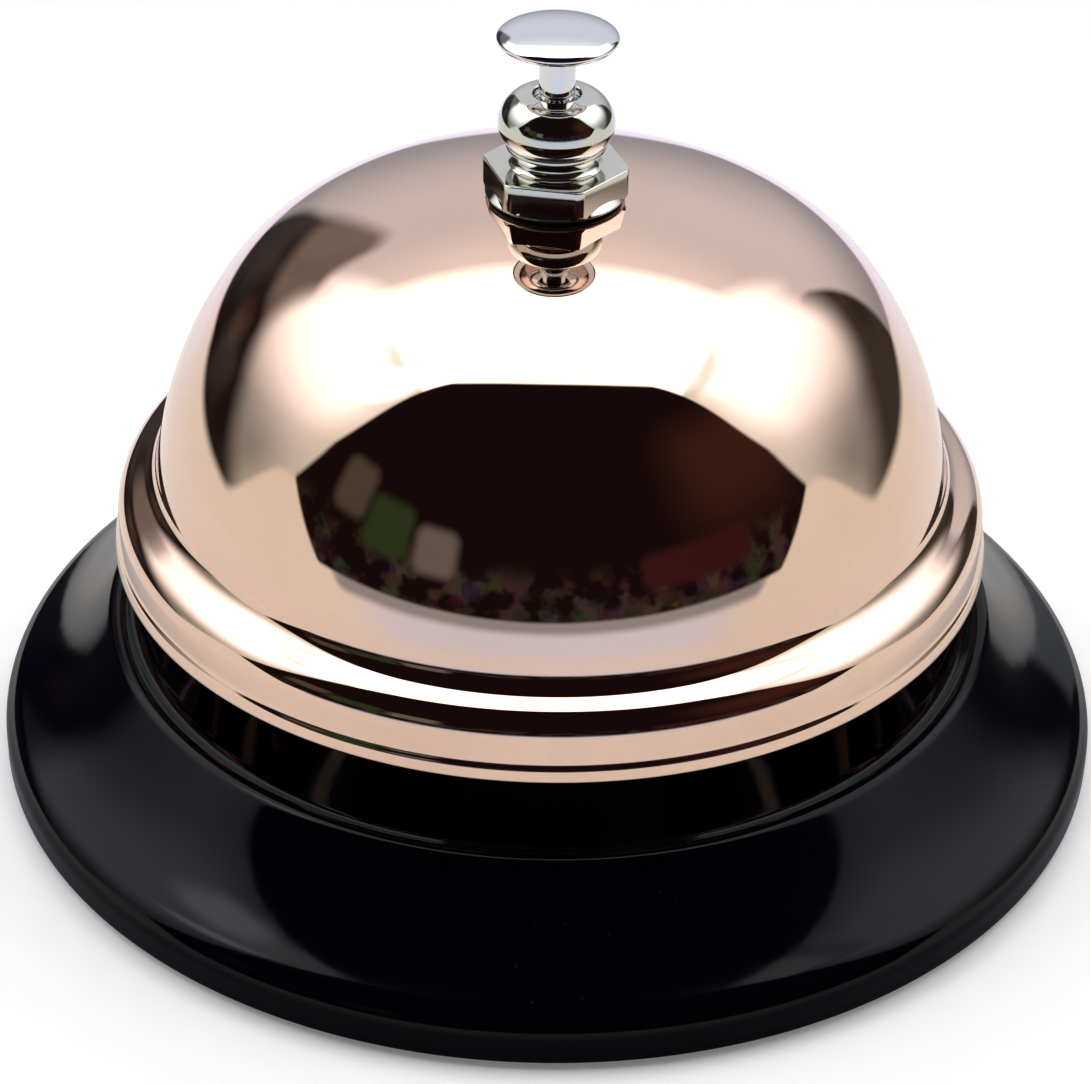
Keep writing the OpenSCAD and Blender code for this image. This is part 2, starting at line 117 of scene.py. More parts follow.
def dome_runs():
    """Crown, turn, side, cove, shoulder, bead, skirt and rolled lip, then the inside of the sheet."""
    crown = np.array([0, DOME_TOP - CROWN])
    turn = crown + (CROWN - TURN) * toward(CROWN_TILT)
    side = turn + (TURN - SIDE) * toward(TURN_TILT)
    cove = side + (SIDE + COVE) * toward(SIDE_TILT)
    bead = cove - (COVE + BEAD) * toward(COVE_TILT) + SHOULDER * toward(COVE_TILT - 90)
    skirt = bead + BEAD * toward(SKIRT_TILT)
    lip_top = np.array([skirt[0] + (skirt[1] - LIP_Z) * math.tan(math.radians(SKIRT_TILT)), LIP_Z])
    lip_in = lip_top + LIP * toward(SKIRT_TILT)
    lip_out = lip_in - 2 * LIP * toward(LIP_TILT)
    rim = lip_out[0] + LIP + LIP_STEP
    hole_tilt = 90 - math.degrees(math.asin(DOME_HOLE / CROWN))
    inner_tilt = 90 - math.degrees(math.asin(DOME_HOLE / (CROWN - SHEET)))
    outside = (arc(crown, CROWN, hole_tilt, CROWN_TILT, 0.5) + arc(turn, TURN, CROWN_TILT, TURN_TILT)
               + arc(side, SIDE, TURN_TILT, SIDE_TILT, 1) + arc(cove, -COVE, SIDE_TILT, COVE_TILT, 3)
               + line(cove - COVE * toward(COVE_TILT), bead + BEAD * toward(COVE_TILT), 3)
               + arc(bead, BEAD, COVE_TILT, SKIRT_TILT, 3) + line(skirt, lip_top, 6)
               + arc(lip_in, -LIP, SKIRT_TILT, LIP_TILT, 6) + arc(lip_out, LIP, LIP_TILT, 0, 6)
               + line([lip_out[0] + LIP, lip_out[1]], [rim, RIM_Z + EDGE], 2)
               + arc([rim - EDGE, RIM_Z + EDGE], EDGE, 0, -90, 15))
    inside = (line([rim - SHEET, RIM_Z], [bead[0] + (BEAD - SHEET) * toward(SKIRT_TILT)[0], bead[1]], 8)
              + arc(bead, BEAD - SHEET, SKIRT_TILT, COVE_TILT, 4)
              + arc(cove, -COVE - SHEET, COVE_TILT, SIDE_TILT, 4)
              + arc(side, SIDE - SHEET, SIDE_TILT, TURN_TILT, 2)
              + arc(turn, TURN - SHEET, TURN_TILT, CROWN_TILT, 3)
              + arc(crown, CROWN - SHEET, CROWN_TILT, inner_tilt, 2))
    runs = outside, line(outside[-1], inside[0], 2), inside, line(inside[-1], outside[0], 2)
    return [run[::-1] for run in runs]


# ---------------------------------------------------------------- base

BASE_R, EDGE_R, EDGE_Z = 42.5, 2.7, 2.2
FOOT_TILT, HEAD_TILT, FLARE_PULL = 63, 40, 0.36
RIDGE_R, RIDGE_H, CREST_R, DISH_TILT = 33.3, 1.2, 1.0, 140
DECK_Z, WALL = 10.2, 1.9
RIM_LIFT, RIM_ROUND = 0.4, 0.4
SHELF_R, SHELF_Z, LEDGE_R = 39.4, 2.6, 40.3


def rounded(points, radii):
    """A polyline whose corners are rounded to the given radii."""
    run = [np.array(points[0], float)]
    for i in range(1, len(points) - 1):
        a, b, c = (np.array(points[k], float) for k in (i - 1, i, i + 1))
        u, v = (a - b) / np.hypot(*(a - b)), (c - b) / np.hypot(*(c - b))
        half = math.acos(max(-1, min(1, float(u @ v)))) / 2
        cut = min(radii[i - 1] / math.tan(half), 0.48 * np.hypot(*(a - b)), 0.48 * np.hypot(*(c - b)))
        p, q = b + u * cut, b + v * cut
        for s in np.linspace(0, 1, 9):
            run.append((1 - s) ** 2 * p + 2 * s * (1 - s) * b + s * s * q)
    return run + [np.array(points[-1], float)]


def base_runs():
    """Rounded edge, hollow flare, ridge, dish and deck, then the hollow underside."""
    crest = np.array([RIDGE_R, DECK_Z + RIDGE_H - CREST_R])
    foot = np.array([BASE_R - EDGE_R, EDGE_Z]) + EDGE_R * toward(FOOT_TILT)
    head = crest + CREST_R * toward(HEAD_TILT)
    pull = FLARE_PULL * np.hypot(*(head - foot))
    a, b = foot + pull * toward(FOOT_TILT + 90), head - pull * toward(HEAD_TILT + 90)
    sweep = [(1 - s) ** 3 * foot + 3 * s * (1 - s) ** 2 * a + 3 * s * s * (1 - s) * b + s ** 3 * head
             for s in np.linspace(0, 1, 33)]
    dish_r = RIDGE_H / (1 - toward(DISH_TILT)[1]) - CREST_R
    dish = crest + (CREST_R + dish_r) * toward(DISH_TILT)
    outside = (arc([BASE_R - RIM_ROUND, RIM_LIFT + RIM_ROUND], RIM_ROUND, -90, 0, 15)
               + line([BASE_R, RIM_LIFT + RIM_ROUND], [BASE_R, EDGE_Z], 3)
               + arc([BASE_R - EDGE_R, EDGE_Z], EDGE_R, 0, FOOT_TILT, 2)
               + sweep[1:] + arc(crest, CREST_R, HEAD_TILT, DISH_TILT, 4)[1:]
               + arc(dish, -dish_r, DISH_TILT, 90, 3)[1:])
    deck = line(outside[-1], [0, DECK_Z], 6)
    under = [[0, DECK_Z - WALL], [RIDGE_R - WALL, DECK_Z - WALL],
             sweep[len(sweep) // 2] - WALL * toward((FOOT_TILT + HEAD_TILT) / 2),
             [SHELF_R, foot[1] - WALL], [SHELF_R, SHELF_Z], [LEDGE_R, SHELF_Z], [LEDGE_R, RIM_LIFT],
             [BASE_R - RIM_ROUND, RIM_LIFT]]
    return [outside + deck[1:]] + [line(a, b, 2) for a, b in zip(under, under[1:])]


# ---------------------------------------------------------------- cap nut and button

CAP_Z = 45.62
CAP_FLATS, CAP_HEX_H, CAP_TURN = 9.4, 2.25, -10.7
CAP_BEARING, CAP_CHAMFER = 5.1, 0.4
CORNER_ROUND, TOP_ROUND = 0.14, 0.1
HIDDEN = 0.02
FLANGE_EDGE, FLANGE_H = 0.12, 0.65
NECK_R, NECK_WAIST, NECK_FOOT = 3.15, 0.2, 0.25
COLLAR_R, COLLAR_Z = 3.6, (CAP_Z + 3.5, CAP_Z + 3.85)
BALL_Z = CAP_Z + 5.38
BALL_R, BALL_SIDE, BALL_TOP, BALL_UNDER = 4.2, 2.3, 1.45, 2.0
BALL_SIDE_TILT, BALL_TOP_TILT = 56, 82
WELL_R, WELL_Z, MOUTH = 1.72, CAP_Z + 3.38, 0.12
POST_BORE = 2.48
BUTTON_Z = CAP_Z + 11.83
BUTTON_R, BUTTON_T, BUTTON_UNDER = 4.35, 1.7, 2.6
BUTTON_DROP = BUTTON_T * 0.42
STEM_R = 1.3
GUIDE_R, GUIDE_HOLE, GUIDE_Z = 1.67, 0.93, (51.0, 52.6)


def oval(z, half_w, half_h, start, end, n):
    steps = [start + (end - start) * i / n for i in range(n + 1)]
    return [np.array([half_w * toward(a)[0], z + half_h * toward(a)[1]]) for a in steps]


def cap_runs():
    """Neck, collar, ball with a flattened top, and the bore down to the nut's underside."""
    hex_top = CAP_Z + CAP_HEX_H
    foot = math.degrees(math.asin((BALL_Z - COLLAR_Z[1]) / BALL_UNDER))
    side = np.array([BALL_R - BALL_SIDE, BALL_Z])
    edge = side + (BALL_SIDE - BALL_TOP) * toward(BALL_SIDE_TILT)
    brow = edge + BALL_TOP * toward(BALL_TOP_TILT)
    mouth_r = WELL_R + MOUTH
    rim = np.array([mouth_r, brow[1] + (brow[0] - mouth_r) / math.tan(math.radians(BALL_TOP_TILT))])
    neck = [np.array([NECK_R - NECK_WAIST * math.sin(math.pi * s) + NECK_FOOT * (1 - s) ** 12,
                      hex_top + (COLLAR_Z[0] - hex_top) * s]) for s in np.linspace(0, 1, 17)]
    under = arc([BALL_R - BALL_UNDER, BALL_Z], BALL_UNDER, -foot, 0, 2)
    collar = rounded([neck[-1], [COLLAR_R, COLLAR_Z[0]], [COLLAR_R, COLLAR_Z[1]], under[0]], [0.12, 0.05])
    ball = (under + arc(side, BALL_SIDE, 0, BALL_SIDE_TILT, 2)[1:]
            + arc(edge, BALL_TOP, BALL_SIDE_TILT, BALL_TOP_TILT, 2)[1:] + line(brow, rim, 4)[1:]
            + arc([mouth_r, rim[1] - MOUTH], MOUTH, BALL_TOP_TILT, 180, 14)[1:])
    well = line(ball[-1], [WELL_R, WELL_Z], 4)
    shelf = line(well[-1], [POST_BORE, WELL_Z], 2)
    bore = line(shelf[-1], [POST_BORE, CAP_Z], 3)
    return [neck, collar, ball, well, shelf, bore]


def flange_runs():
    """The thin conical flange that the hexagon stands on."""
    base = [[POST_BORE, CAP_Z], [CAP_BEARING, CAP_Z], [CAP_BEARING, CAP_Z + FLANGE_EDGE],
            [CAP_FLATS / 2 - FLANGE_EDGE, CAP_Z + FLANGE_H]]
    return [rounded(base, [0.04, 0.04])]


def hexagon_head(name, segments=288):
    """The nut's hexagon: flats and corners with softened edges, and a turned chamfer below."""
    top = CAP_Z + CAP_HEX_H
    corner = CAP_FLATS / math.sqrt(3)
    columns = []
    for i in range(segments):
        a = 360 * i / segments
        off = (a % 60) - 30
        flat = CAP_FLATS / 2 / math.cos(math.radians(off))
        blend = math.exp(-((30 - abs(off)) / 1.6) ** 2)
        r = flat - CORNER_ROUND * blend
        cham = CAP_Z + max(HIDDEN, (r - CAP_BEARING) * CAP_CHAMFER / (corner - CAP_BEARING))
        rows = [(POST_BORE, CAP_Z + HIDDEN), (min(r, CAP_BEARING) - 0.05, CAP_Z + HIDDEN),
                (r - 0.02, cham + 0.02), (r, cham + 0.05)]
        rows += [(r, cham + (top - TOP_ROUND - cham) * s) for s in (0.35, 0.7, 1.0)]
        rows += [(r - TOP_ROUND * (1 - math.cos(t)), top - TOP_ROUND * (1 - math.sin(t)))
                 for t in (0.4, 0.8, 1.2, math.pi / 2)]
        rows += [(r - 0.5, top), (NECK_R, top)]
        turn = math.radians(a + CAP_TURN)
        columns.append([(x * math.cos(turn), x * math.sin(turn), z) for x, z in rows])
    n = len(columns[0])
    verts = [tuple(c * MM for c in p) for column in columns for p in column]
    faces = []
    for i in range(segments):
        j = (i + 1) % segments
        faces += [(i * n + k, j * n + k, j * n + k + 1, i * n + k + 1) for k in range(n - 1)]
    piece = add_piece(name, verts, faces)
    piece.data.set_sharp_from_angle(angle=math.radians(28))
    return piece


def button_runs():
    """The guide collar, the stem, and the head with its hollowed underside."""
    under = BUTTON_Z - BUTTON_DROP
    guide = rounded([[GUIDE_HOLE, GUIDE_Z[0]], [GUIDE_R, GUIDE_Z[0]], [GUIDE_R, GUIDE_Z[1]]], [0.1])
    stem = rounded([[GUIDE_R, GUIDE_Z[1]], [STEM_R, GUIDE_Z[1] + 0.3], [STEM_R, under],
                    [BUTTON_UNDER, under]], [0.1, 0.4])
    cup = [np.array([BUTTON_UNDER + (BUTTON_R - BUTTON_UNDER) * toward(a)[0],
                     BUTTON_Z - BUTTON_DROP * toward(a)[1]]) for a in np.linspace(90, 0, 14)]
    head = oval(BUTTON_Z, BUTTON_R, BUTTON_T - BUTTON_DROP, 0, 90, 30)
    return [guide, stem, cup + head[1:]]


# ---------------------------------------------------------------- materials

class Graph:
    """A small helper that adds nodes to a material or world and links them."""

    def __init__(self, owner):
        owner.use_nodes = True
        self.tree = owner.node_tree
        self.tree.nodes.clear()

    def node(self, kind, inputs=(), **settings):
        n = self.tree.nodes.new(kind)
        for key, value in settings.items():
            setattr(n, key, value)
        for key, value in dict(inputs).items():
            if isinstance(value, bpy.types.NodeSocket):
                self.tree.links.new(value, n.inputs[key])
            else:
                n.inputs[key].default_value = value
        return n

    def math(self, operation, *values):
        return self.node("ShaderNodeMath", enumerate(values), operation=operation).outputs[0]

    def ramp(self, value, low, high, to_low=0.0, to_high=1.0):
        """Eases from one value to another as the input goes from low to high."""
        limits = {"From Min": low, "From Max": high, "To Min": to_low, "To Max": to_high}
        return self.node("ShaderNodeMapRange", {"Value": value, **limits},
                         interpolation_type="SMOOTHSTEP").outputs["Result"]

    def mix(self, factor, a, b, blend="MIX"):
        """Blends two colours, each a socket or a tuple of red, green and blue."""
        a, b = ((*c[:3], 1) if isinstance(c, tuple) else c for c in (a, b))
        return self.node("ShaderNodeMix", {0: factor, 6: a, 7: b},
                         data_type="RGBA", blend_type=blend).outputs[2]

    def noise(self, vector, scale, detail=3, roughness=0.5, stretch=None):
        if stretch:
            vector = self.node("ShaderNodeMapping", {"Vector": vector, "Scale": stretch}).outputs[0]
        return self.node("ShaderNodeTexNoise", {"Vector": vector, "Scale": scale, "Detail": detail,
                                                "Roughness": roughness}).outputs["Fac"]


def shader(name):
    material = bpy.data.materials.new(name)
    g = Graph(material)
    where = g.node("ShaderNodeTexCoord").outputs["Object"]
    bsdf = g.node("ShaderNodeBsdfPrincipled")
    g.node("ShaderNodeOutputMaterial", {"Surface": bsdf.outputs[0]})
    return material, g, where, bsdf


def connect(g, bsdf, **sockets):
    names = {"color": "Base Color", "roughness": "Roughness", "normal": "Normal",
             "metallic": "Metallic", "ior": "IOR", "specular": "Specular IOR Level"}
    for key, value in sockets.items():
        socket = bsdf.inputs[names[key]]
        if isinstance(value, bpy.types.NodeSocket):
            g.tree.links.new(value, socket)
        else:
            socket.default_value = (*value, 1) if isinstance(value, tuple) else value


def plated(name, light, dark, gloss, speck):
    """Mirror plating: a faint waviness, slight haze that varies, and a few specks in the plating."""
    material, g, where, bsdf = shader(name)
    cloud = g.noise(where, 60, 4, 0.6)
    haze = g.noise(where, 900, 3, 0.6)
    pits = g.node("ShaderNodeTexVoronoi", {"Vector": where, "Scale": 420.0}).outputs["Distance"]
    pit = g.ramp(pits, 0.0, 0.06, 1.0, 0.0)
    rare = g.ramp(g.noise(where, 45, 2), 0.62, 0.68)
    fleck = g.math("MULTIPLY", pit, rare)
    color = g.mix(g.ramp(cloud, 0.35, 0.65), dark, light)
    color = g.mix(g.math("MULTIPLY", fleck, speck), color, tuple(c * 0.45 for c in dark))
    rough = g.ramp(haze, 0.3, 0.7, gloss * 0.7, gloss * 1.35)
    rough = g.math("ADD", rough, g.math("MULTIPLY", fleck, 0.25 * speck))
    height = g.math("ADD", g.noise(where, 70, 2), g.math("MULTIPLY", fleck, -0.25 * speck))
    bump = g.node("ShaderNodeBump", {"Height": height, "Strength": 0.02, "Distance": 0.001})
    connect(g, bsdf, color=color, metallic=1.0, roughness=rough, normal=bump.outputs[0])
    return material


def gloss_black(name):
    """Moulded gloss black with a fine ripple, hairline scratches and a little dust."""
    material, g, where, bsdf = shader(name)
    ripple = g.noise(where, 130, 2)
    hair = g.noise(where, 40, 6, 0.75, stretch=(1.0, 14.0, 1.0))
    scratch = g.ramp(hair, 0.66, 0.7)
    dust = g.node("ShaderNodeTexVoronoi", {"Vector": where, "Scale": 700.0}).outputs["Distance"]
    speck = g.math("MULTIPLY", g.ramp(dust, 0.0, 0.1, 1.0, 0.0), g.ramp(g.noise(where, 90, 2), 0.56, 0.66))
    color = g.mix(speck, (0.0008, 0.0008, 0.0030), (0.02, 0.02, 0.024))
    rough = g.math("ADD", g.ramp(g.noise(where, 320, 3), 0.3, 0.7, 0.06, 0.10),
                   g.math("MULTIPLY", scratch, 0.1))
    bump = g.node("ShaderNodeBump", {"Height": g.math("ADD", ripple, g.math("MULTIPLY", speck, 0.05)),
                                     "Strength": 0.03, "Distance": 0.001})
    connect(g, bsdf, color=color, roughness=rough, normal=bump.outputs[0], ior=1.5, specular=0.13)
    return material


def zinc(name, color, rough, brush=(1.0, 1.0, 1.0), strength=0.08):
    """Zinc plated or drawn steel: brushed one way, mottled, a little darker in patches."""
    material, g, where, bsdf = shader(name)
    spangle = g.node("ShaderNodeTexVoronoi", {"Vector": where, "Scale": 900.0}).outputs["Color"]
    grey = g.node("ShaderNodeSeparateColor", {"Color": spangle}).outputs[0]
    lines = g.noise(where, 700, 3, 0.7, stretch=brush)
    shade = g.math("ADD", g.math("MULTIPLY", grey, 0.3), g.math("MULTIPLY", g.noise(where, 160, 4), 0.7))
    tone = g.mix(g.ramp(shade, 0.25, 0.75), tuple(c * 0.72 for c in color), color)
    roughness = g.ramp(lines, 0.3, 0.7, rough * 0.75, rough * 1.3)
    bump = g.node("ShaderNodeBump", {"Height": lines, "Strength": strength, "Distance": 0.0004})
    connect(g, bsdf, color=tone, metallic=1.0, roughness=roughness, normal=bump.outputs[0])
    return material


def dull(name, light, dark, rough, grain=2500, strength=0.25):
    """Rubber, fibre or nylon: a fine grain, mottled colour and no metal."""
    material, g, where, bsdf = shader(name)
    fine = g.noise(where, grain, 4, 0.7)
    broad = g.noise(where, grain * 0.12, 3, 0.6)
    mottle = g.math("ADD", g.math("MULTIPLY", fine, 0.4), g.math("MULTIPLY", broad, 0.6))
    color = g.mix(g.ramp(mottle, 0.35, 0.65), dark, light)
    roughness = g.ramp(broad, 0.3, 0.7, rough * 0.85, min(1.0, rough * 1.15))
    bump = g.node("ShaderNodeBump", {"Height": fine, "Strength": strength, "Distance": 0.0003})
    connect(g, bsdf, color=color, roughness=roughness, normal=bump.outputs[0])
    return material


LOOKS = {
    "rose_plate": plated("rose_plate_look", (0.80, 0.575, 0.465), (0.76, 0.54, 0.43), 0.02, 1.0),
    "pale_plate": plated("pale_plate_look", (0.66, 0.645, 0.59), (0.60, 0.585, 0.53), 0.05, 0.6),
    "chrome_plate": plated("chrome_look", (0.74, 0.75, 0.77), (0.70, 0.71, 0.735), 0.03, 0.4),
    "black_gloss": gloss_black("black_gloss_look"),
    "zinc_sheet": zinc("zinc_sheet_look", (0.62, 0.63, 0.65), 0.36, (1.0, 0.08, 1.0)),
    "zinc_fastener": zinc("zinc_fastener_look", (0.66, 0.66, 0.67), 0.3, (1.0, 1.0, 6.0)),
    "rivet_steel": zinc("rivet_look", (0.68, 0.68, 0.7), 0.28, strength=0.05),
    "rod_steel": zinc("rod_look", (0.68, 0.68, 0.7), 0.2, (1.0, 1.0, 0.1), 0.04),
    "spring_steel": zinc("spring_steel_look", (0.17, 0.17, 0.19), 0.38, (1.0, 1.0, 3.0)),
    "spring_wire": zinc("spring_wire_look", (0.66, 0.67, 0.7), 0.24, strength=0.05),
    "hammer_brass": zinc("hammer_brass_look", (0.72, 0.54, 0.24), 0.22, (1.0, 1.0, 5.0), 0.05),
    "rubber_pad": dull("rubber_look", (0.034, 0.033, 0.032), (0.016, 0.016, 0.016), 0.82, 1800, 0.6),
    "fibre_washer": dull("fibre_look", (0.40, 0.085, 0.05), (0.27, 0.05, 0.03), 0.6),
    "black_washer": dull("black_washer_look", (0.03, 0.026, 0.025), (0.014, 0.012, 0.012), 0.55),
    "pale_nylon": dull("nylon_look", (0.78, 0.75, 0.66), (0.69, 0.66, 0.57), 0.42, 1500, 0.1),
}
for part in frame["record"]["subparts"]:
    NODES[part["node"]].data.materials.clear()
    NODES[part["node"]].data.materials.append(LOOKS[part["material_slot"]])

stand_for(lathe("dome_sheet", dome_runs(), 320), "bell_dome", "rose_plate")
stand_for(lathe("base_moulding", base_runs(), 320), "base_shell", "black_gloss")
stand_for(lathe("cap_nut_head", cap_runs(), 160), "cap_nut", "pale_plate")
stand_for(lathe("cap_nut_flange", flange_runs(), 160), "cap_nut", "pale_plate")
stand_for(hexagon_head("cap_nut_hexagon"), "cap_nut", "pale_plate")
stand_for(lathe("button_head", button_runs(), 160), "push_button", "chrome_plate")


# ---------------------------------------------------------------- floor

FLOOR_Z = -0.02 * MM
FLOOR_FULL, FLOOR_END = 0.085, 0.15
PAPER = (0.93, 0.93, 0.925), (0.95, 0.95, 0.945)
PAPER_MIRRORED = (0.90, 0.87, 0.82), (0.92, 0.89, 0.84)
# Painted contact shadow: the darker paper colour seen in reflections near the bell's foot, and the reach
# over which it fades
CONTACT_SHADE, CONTACT_REACH = (0.30, 0.31, 0.33), (0.044, 0.060)
PAPER_GLOW = 0.16


def disc(name, radius, rings=8, segments=96):
    """A flat round sheet just under the foot pad, as rings of faces."""
    verts = [(0.0, 0.0, FLOOR_Z)]
    for k in range(1, rings + 1):
        r = radius * k / rings
        verts += [(r * math.cos(t), r * math.sin(t), FLOOR_Z)
                  for t in np.arange(segments) * 2 * math.pi / segments]
    faces = [(0, 1 + i, 1 + (i + 1) % segments) for i in range(segments)]
    for k in range(rings - 1):
        p, q = 1 + k * segments, 1 + (k + 1) * segments
        faces += [(p + i, q + i, q + (i + 1) % segments, p + (i + 1) % segments) for i in range(segments)]
    return add_piece(name, verts, faces, smooth=False)


# Pale paper that fades out; the colour the bell mirrors of it carries a painted contact shadow close to
# its foot
floor = disc("floor", FLOOR_END)
floor_look, g, where, bsdf = shader("floor_look")
paper = g.ramp(g.noise(where, 400, 3), 0.3, 0.7)
seen = g.node("ShaderNodeLightPath").outputs["Is Camera Ray"]
reach = g.node("ShaderNodeVectorMath", {0: where}, operation="LENGTH").outputs["Value"]
# Painted contact shadow, for reflections only: darker paper near the foot, blending out to the mirrored
# paper colour
shade = g.mix(g.ramp(reach, *CONTACT_REACH), CONTACT_SHADE, g.mix(paper, *PAPER_MIRRORED))
connect(g, bsdf, color=g.mix(seen, shade, g.mix(paper, *PAPER)), roughness=0.7)
bsdf.inputs["Emission Color"].default_value = (1.0, 1.0, 1.0, 1.0)
g.tree.links.new(g.math("MULTIPLY", seen, PAPER_GLOW), bsdf.inputs["Emission Strength"])
g.tree.links.new(g.ramp(reach, FLOOR_FULL, FLOOR_END, 1.0, 0.0), bsdf.inputs["Alpha"])
floor.data.materials.append(floor_look)


# ---------------------------------------------------------------- light

world = bpy.data.worlds.new("light_tent")
bpy.context.scene.world = world
w = Graph(world)
direction = w.node("ShaderNodeTexCoord").outputs["Generated"]
X, Y, Z = w.node("ShaderNodeSeparateXYZ", {"Vector": direction}).outputs
SIDE_X = w.math("ABSOLUTE", X)
# Azimuth from the front (-Y), + to the right, and elevation, both in degrees
AZ = w.math("MULTIPLY", w.math("ARCTAN2", X, w.math("MULTIPLY", Y, -1.0)), 180 / math.pi)
EL = w.math("MULTIPLY", w.math("ARCSINE", Z), 180 / math.pi)
SIDE = w.math("ABSOLUTE", AZ)


def weighted(*terms):
    """The sum of (value, weight) pairs."""
    result = None
    for value, weight in terms:
        if weight:
            term = w.math("MULTIPLY", value, weight)
            result = term if result is None else w.math("ADD", result, term)
    return result


def plane(side=0.0, y=0.0, z=0.0, soft=0.03, shift=0.0):
    """1 on the side of a plane through the bell that the weights point to, 0 on the other."""
    return w.ramp(weighted((SIDE_X, side), (Y, y), (Z, z)), shift - soft, shift + soft)


def product(first, *others):
    """All the given masks and weights, multiplied together."""
    for factor in others:
        first = w.math("MULTIPLY", first, factor)
    return first


def box(low_az, high_az, low_el, high_el, corner=6.0, soft=3.0, around=AZ):
    """A patch of the surroundings with rounded corners and soft edges, in degrees."""
    sides = []
    for value, low, high in ((around, low_az, high_az), (EL, low_el, high_el)):
        off = w.math("ABSOLUTE", w.math("SUBTRACT", value, (low + high) / 2))
        sides.append(w.math("MAXIMUM", w.math("SUBTRACT", off, (high - low) / 2 - corner), 0.0))
    reach = w.math("POWER", w.math("ADD", product(sides[0], sides[0]), product(sides[1], sides[1])), 0.5)
    return w.ramp(reach, corner - soft, corner + soft, 1.0, 0.0)


# The tent: a roof, two side panels, a backdrop and an open front with a dim room beyond it
ROOF = (2.3, 2.3, 2.3)
PANEL = (2.15, 2.20, 2.30)
PANEL_FOOT = (0.31, 0.325, 0.31)
PANEL_EDGE = (0.78, 0.83, 0.78)
BACK = (0.78, 0.80, 0.86)
BACK_FOOT = (0.33, 0.355, 0.40)
BACK_HEAD = (1.10, 1.10, 1.13)
DARK_LEFT = (0.014, 0.010, 0.010)
DARK_LEFT_TOP = (0.19, 0.16, 0.15)
DARK_RIGHT = (0.036, 0.030, 0.024)
FLOOR_FRONT = (0.75, 0.84, 1.02)
FLOOR_SIDE = (0.90, 0.90, 0.84)
FLOOR_BACK = (1.02, 1.02, 1.26)
ROOM = (0.010, 0.005, 0.006)
WALL_BROWN = (0.050, 0.019, 0.012)
GAP_BROWN = (0.045, 0.022, 0.012)
HOT_SPOT = (5.0, 5.0, 5.2)
SHELF_DIM = (0.11, 0.095, 0.09)
SHELF_GREY = (0.5, 0.42, 0.38)
# Azimuth and elevation limits of the small things, and their colours
THINGS = ((-66, -55, 12, 26, (0.085, 0.075, 0.060)), (-54, -40, 6, 21, (0.030, 0.055, 0.022)),
          (-38, -26, 5, 18, (0.16, 0.15, 0.14)), (26, 58, 3, 13, (0.045, 0.012, 0.014)))

# The open front, between the roof's front edge and the side panels' bowed ones
bulge = w.math("POWER", w.math("DIVIDE", w.math("SUBTRACT", EL, 38.0), 9.8), 2.0)
front = product(plane(y=-1.0, z=-0.05, soft=0.012),
                w.ramp(weighted((SIDE, -1.0), (bulge, 1.0)), -73.0, -71.0),
                plane(z=1.0, y=-0.9, side=-0.338, soft=0.015), plane(z=1.0, soft=0.012, shift=-0.07))
roof = product(plane(z=1.0, side=-1.85, soft=0.03), plane(z=0.84, y=-1.0, soft=0.05))

# Backdrop, brighter above
back = w.mix(w.ramp(EL, -8.0, 26.0), BACK_FOOT, BACK)
sky = w.mix(w.ramp(EL, 34.0, 52.0), back, BACK_HEAD)

# Side panels: bright above, dimmer towards their feet and their front edges
glow = w.mix(w.ramp(EL, 3.0, 43.0), PANEL_FOOT, PANEL)
glow = w.mix(w.ramp(weighted((SIDE, 1.0), (bulge, -1.0)), 70.0, 88.0, 0.8, 0.0), glow, PANEL_EDGE)
seam = box(74.0, 128.0, 57.0, 61.0, 2.0, 2.0, SIDE)
glow = w.mix(product(seam, 0.55), glow, PANEL_EDGE)
left_end = w.ramp(weighted((AZ, -1.0), (EL, -0.5)), 112.0, 126.0, 1.0, 0.0)
right_end = w.ramp(weighted((AZ, 1.0), (EL, -0.35)), 118.0, 132.0, 1.0, 0.0)
sky = w.mix(product(box(60.0, 150.0, -14.0, 66.0, 20.0, 3.0, SIDE), w.ramp(EL, 30.0, 44.0)), sky, PANEL)
sky = w.mix(product(box(-152.0, -60.0, -14.0, 90.0, 4.0, 3.0), left_end), sky, glow)
sky = w.mix(product(box(60.0, 145.0, -14.0, 90.0, 4.0, 3.0), right_end), sky, glow)

# Dark gaps behind the side panels
clutter = w.noise(direction, 2.6, 2)
gap_left = product(box(-160.0, -96.0, -16.0, 34.0, 5.0, 1.8),
                   w.ramp(weighted((AZ, -1.0), (EL, -1.0)), 97.0, 114.0))
gap_right = product(box(100.0, 141.0, -16.0, 32.0, 5.0, 1.5),
                    w.ramp(weighted((AZ, 1.0), (EL, -1.0)), 98.0, 121.0))
behind_left = w.mix(w.ramp(EL, 15.0, 22.0), DARK_LEFT, DARK_LEFT_TOP)
behind_left = w.mix(box(-137.0, -128.0, 2.0, 14.0, 3.0, 2.5), behind_left, GAP_BROWN)
sky = w.mix(product(gap_left, w.ramp(clutter, 0.35, 0.65, 1.0, 0.93)), sky, behind_left)
sky = w.mix(product(gap_right, w.ramp(clutter, 0.35, 0.65, 1.0, 0.95)), sky, DARK_RIGHT)

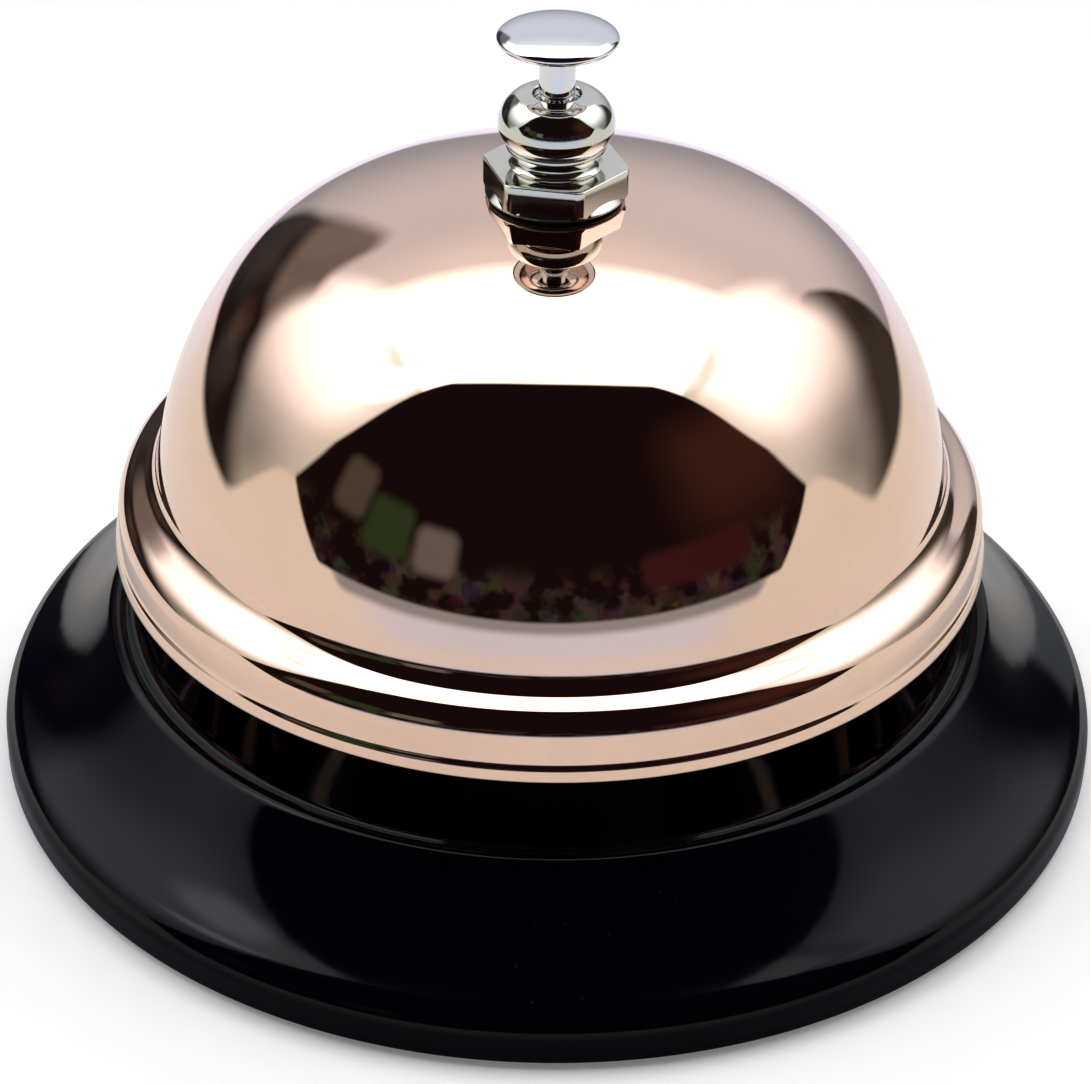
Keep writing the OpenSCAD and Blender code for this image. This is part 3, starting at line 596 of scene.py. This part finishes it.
# Counter top beyond the floor, which rises a little where the side panels stand on it
rise = product(w.ramp(SIDE, 56.0, 74.0), w.ramp(SIDE, 82.0, 104.0, 1.0, 0.0))
horizon = weighted((rise, 17.0), (EL, -1.0))
below = w.ramp(horizon, 6.0, 9.0)
counter = w.mix(plane(y=-1.0, side=-0.9, soft=0.25), FLOOR_SIDE, FLOOR_FRONT)
counter = w.mix(w.ramp(SIDE, 130.0, 160.0), counter, FLOOR_BACK)
sky = w.mix(below, sky, counter)
sky = w.mix(roof, sky, ROOF)
sky = w.mix(box(-101.0, -80.0, 45.0, 60.0, 7.0, 5.0), sky, HOT_SPOT)

# The dim room in front: a warm patch at the right, and a low shelf of small muted things
room = w.mix(box(42.0, 80.0, 14.0, 50.0, 14.0, 12.0), ROOM, WALL_BROWN)
stuff = w.node("ShaderNodeTexVoronoi", {"Vector": direction, "Scale": 14.0}).outputs["Color"]
muted = w.mix(1.0, w.mix(0.55, stuff, SHELF_GREY), SHELF_DIM, "MULTIPLY")
shelf = product(w.ramp(EL, 4.0, 14.0, 1.0, 0.0), w.ramp(w.noise(direction, 9.0, 2), 0.42, 0.62))
room = w.mix(product(shelf, 0.8), room, muted)
for low_az, high_az, low_el, high_el, tone in THINGS:
    room = w.mix(box(low_az, high_az, low_el, high_el, 3.0, 2.0), room, tone)
sky = w.mix(front, sky, room)
seen = w.node("ShaderNodeLightPath").outputs["Is Camera Ray"]
sky = w.mix(seen, sky, (1.0, 1.0, 1.0))
background = w.node("ShaderNodeBackground", {"Color": sky, "Strength": 1.0})
w.node("ShaderNodeOutputWorld", {"Surface": background.outputs[0]})


# ---------------------------------------------------------------- camera

CAMERA_AT = Vector((0.0, -201.9, 147.5)) * MM
LOOKS_AT = Vector((-0.337, 0.0, 15.372)) * MM
ROLL = math.radians(0.872)
LENS, SENSOR = 103.231897, 36.0

cam_data = bpy.data.cameras.new("camera")
cam_data.sensor_width = SENSOR
cam_data.lens = LENS
cam_data.clip_start, cam_data.clip_end = 0.01, 20.0
camera = bpy.data.objects.new("camera", cam_data)
bpy.context.scene.collection.objects.link(camera)
forward = (LOOKS_AT - CAMERA_AT).normalized()
right = forward.cross(Vector((0, 0, 1))).normalized()
up = right.cross(forward)
right, up = (right * math.cos(ROLL) + up * math.sin(ROLL), up * math.cos(ROLL) - right * math.sin(ROLL))
camera.matrix_world = Matrix.Translation(CAMERA_AT) @ Matrix((right, up, -forward)).transposed().to_4x4()
bpy.context.scene.camera = camera
bpy.context.scene.view_settings.view_transform = "Standard"
